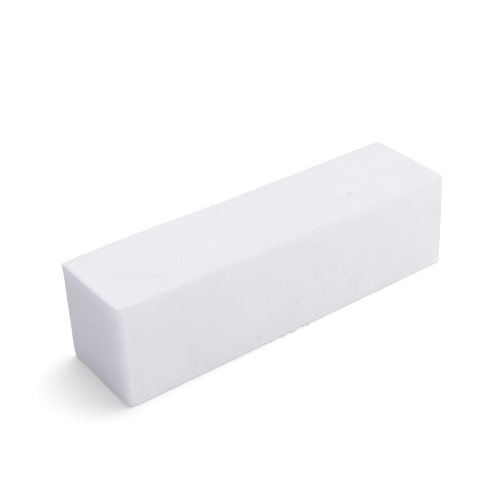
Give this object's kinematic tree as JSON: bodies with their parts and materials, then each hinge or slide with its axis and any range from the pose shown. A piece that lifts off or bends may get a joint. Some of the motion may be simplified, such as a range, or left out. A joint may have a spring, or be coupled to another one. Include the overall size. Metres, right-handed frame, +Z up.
{
  "type": "nail buffer block",
  "caption": "Long soft white foam block with abrasive coats on its long faces and bare ends, for filing and buffing fingernails.",
  "frame": {"origin": "centre of the underside, on the surface that the block rests on", "axes": "+X along the block's length, -Y out of the front face, +Z up out of the top face"},
  "size_m": [0.095, 0.025, 0.026],
  "materials": {
    "foam": "soft fine-celled white foam, matt, cut surface",
    "bond": "thin milky resin film, matt",
    "grit": "fine white abrasive grains in resin, matt and evenly rough"
  },
  "bodies": {
    "root": {"foam_core": "foam", "top_bond_coat": "bond", "bottom_bond_coat": "bond", "front_bond_coat": "bond", "back_bond_coat": "bond", "top_grit_coat": "grit", "bottom_grit_coat": "grit", "front_grit_coat": "grit", "back_grit_coat": "grit"}
  },
  "joints": []
}
